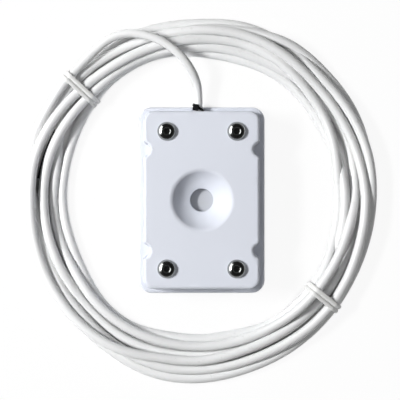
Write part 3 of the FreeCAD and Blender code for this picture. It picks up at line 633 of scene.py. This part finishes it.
tree, shader, place = new_finish("insert_brass")
tarnish = noise(place, 500.0, 4.0, 0.6)
look(tree, shader, tarnish.between(0.35, 0.75).mix((0.80, 0.58, 0.24), (0.55, 0.36, 0.14)),
     0.24 + tarnish * 0.22, bump(tarnish, 0.00004, 0.3), metallic=1.0)
dress("insert_brass", *[f"threaded_insert_{n}" for n in (1, 2, 3, 4)])

# %% Board, resistor and wire
tree, shader, place = new_finish("board_green")
weave = noise(place, 1100.0, 2.0)
blotch = noise(place, 90.0, 3.0)
look(tree, shader, blotch.mix((0.012, 0.14, 0.045), (0.02, 0.20, 0.065)), 0.30 + weave * 0.15,
     bump(weave, 0.00006, 0.35))
shader.inputs["Coat Weight"].default_value = 0.4
dress("board_green", "circuit_board")

tree, shader, place = new_finish("resistor_tan")
speck = noise(place, 1800.0, 3.0)
look(tree, shader, speck.mix((0.62, 0.42, 0.22), (0.50, 0.32, 0.16)), 0.38 + speck * 0.12,
     bump(speck, 0.00004, 0.3))
dress("resistor_tan", "resistor_body")

tree, shader, place = new_finish("tinned_wire")
frost = noise(place, 1300.0, 4.0, 0.6)
look(tree, shader, frost.mix((0.74, 0.74, 0.72), (0.58, 0.58, 0.57)), 0.26 + frost * 0.2,
     bump(frost, 0.00005, 0.35), metallic=1.0)
dress("tinned_wire", "inner_conductors", "resistor_leads", "solder_joints", "end_conductors")

# %% Red and black cores
CORE_LOOKS = (("core_red", (0.58, 0.022, 0.018), (0.42, 0.014, 0.012)),
              ("core_black", (0.014, 0.014, 0.015), (0.03, 0.03, 0.031)))
for name, light, dark in CORE_LOOKS:
    tree, shader, place = new_finish(name)
    skin = noise(place, 1600.0, 3.0)
    look(tree, shader, skin.mix(light, dark), 0.32 + skin * 0.14, bump(skin, 0.00005, 0.3))
dress("core_red", "inner_core_red", "end_core_red")
dress("core_black", "inner_core_black", "end_core_black")

# %% [markdown]
# ## Floor, background and light
# The object was photographed on white. A floor that is white only to the camera stays white without flooding
# the object with light, and part of it is left as a plain surface so that the shadows still show. One soft
# lamp stands on the left, a little towards the top of the picture, and a dim room fills the shadows.

# %% Floor
FLOOR_SIZE = 3.0
# Where the object closes the sky off, the floor is a plain surface in shadow.
SKY_REACH = 0.008
SKY_CLOSED, SKY_OPEN = 0.32, 0.54
FLOOR_GLOW = 0.92
floor_mesh = bmesh.new()
bmesh.ops.create_grid(floor_mesh, x_segments=1, y_segments=1, size=FLOOR_SIZE / 2)
floor_data = bpy.data.meshes.new("floor")
floor_mesh.to_mesh(floor_data)
floor_mesh.free()
floor = bpy.data.objects.new("floor", floor_data)
bpy.context.scene.collection.objects.link(floor)
tree, shader, place = new_finish("floor_white")
shader.inputs["Base Color"].default_value = (0.85, 0.85, 0.85, 1.0)
shader.inputs["Roughness"].default_value = 0.9
shader.inputs["Specular IOR Level"].default_value = 0.0
paths = tree.nodes.new("ShaderNodeLightPath")
camera_ray, glossy_ray, clear_ray = (Out(tree, paths.outputs[f"Is {ray} Ray"])
                                     for ray in ("Camera", "Glossy", "Transmission"))
sky = place.node("ShaderNodeAmbientOcclusion", {"Distance": SKY_REACH}, samples=12)
open_sky = Out(tree, sky.outputs["AO"]).between(SKY_CLOSED, SKY_OPEN)
seen = (camera_ray + glossy_ray + clear_ray).math("MINIMUM", 1.0) * open_sky * FLOOR_GLOW
glow = tree.nodes.new("ShaderNodeEmission")
glow.inputs["Strength"].default_value = 1.0
blend = tree.nodes.new("ShaderNodeMixShader")
plug(tree, blend.inputs[0], seen)
tree.links.new(shader.outputs[0], blend.inputs[1])
tree.links.new(glow.outputs[0], blend.inputs[2])
tree.links.new(blend.outputs[0], tree.nodes["Material Output"].inputs["Surface"])
floor_data.materials.append(finishes["floor_white"])
print("floor:", FLOOR_SIZE, "m square")

# %% Room and lamps
ROOM_LIGHT_LOW = 0.12
ROOM_LIGHT_HIGH = 0.02
world = bpy.data.worlds.new("room")
world.use_nodes = True
bpy.context.scene.world = world
tree = world.node_tree
paths = tree.nodes.new("ShaderNodeLightPath")
camera_ray = Out(tree, paths.outputs["Is Camera Ray"])
direction = tree.nodes.new("ShaderNodeTexCoord").outputs["Generated"]
split = tree.nodes.new("ShaderNodeSeparateXYZ")
tree.links.new(direction, split.inputs[0])
upward = Out(tree, split.outputs["Z"]).between(0.0, 0.7)
room_light = upward * (ROOM_LIGHT_HIGH - ROOM_LIGHT_LOW) + ROOM_LIGHT_LOW
backdrop = tree.nodes["Background"]
backdrop.inputs["Color"].default_value = (1.0, 1.0, 1.0, 1.0)
plug(tree, backdrop.inputs["Strength"], camera_ray * (1.0 - room_light) + room_light)


def add_lamp(name, place, size, power, in_reflections=True):
    data = bpy.data.lights.new(name, "AREA")
    data.shape = "RECTANGLE"
    data.size, data.size_y = size
    data.energy = power
    lamp = bpy.data.objects.new(name, data)
    lamp.location = place
    lamp.rotation_euler = (-Vector(place)).to_track_quat("-Z", "Y").to_euler()
    lamp.visible_camera = False
    lamp.visible_glossy = in_reflections
    bpy.context.scene.collection.objects.link(lamp)
    print(name, "at", place)


add_lamp("key_lamp", (-0.75, 0.12, 0.72), (0.34, 0.12), 13.2)
add_lamp("overhead_lamp", (0.10, -0.05, 1.50), (1.2, 1.2), 5.2, in_reflections=False)

# %% A white card for the metal to reflect
CARD_DISTANCE = 1.0
CARD_LOW = 0.10
CARD_HIGH = 1.15
CARD_HALF_WIDTH = 0.70
CARD_TURN = -14.0
CARD_GLOW = 4.0
card_mesh = bmesh.new()
corners = [(-CARD_DISTANCE, y, z) for y, z in ((-CARD_HALF_WIDTH, CARD_LOW), (CARD_HALF_WIDTH, CARD_LOW),
                                               (CARD_HALF_WIDTH, CARD_HIGH), (-CARD_HALF_WIDTH, CARD_HIGH))]
card_mesh.faces.new([card_mesh.verts.new(corner) for corner in corners])
bmesh.ops.rotate(card_mesh, verts=card_mesh.verts,
                 matrix=Matrix.Rotation(math.radians(CARD_TURN), 3, "Z"))
card_data = bpy.data.meshes.new("reflector_card")
card_mesh.to_mesh(card_data)
card_mesh.free()
card = bpy.data.objects.new("reflector_card", card_data)
bpy.context.scene.collection.objects.link(card)
card.visible_camera = False
card.visible_diffuse = False
card.visible_shadow = False
tree, _, _ = new_finish("card_white")
shine = tree.nodes.new("ShaderNodeEmission")
shine.inputs["Strength"].default_value = CARD_GLOW
tree.links.new(shine.outputs[0], tree.nodes["Material Output"].inputs["Surface"])
card_data.materials.append(finishes["card_white"])
print("card:", len(card_data.polygons), "face")

bpy.context.scene.view_settings.view_transform = "Standard"
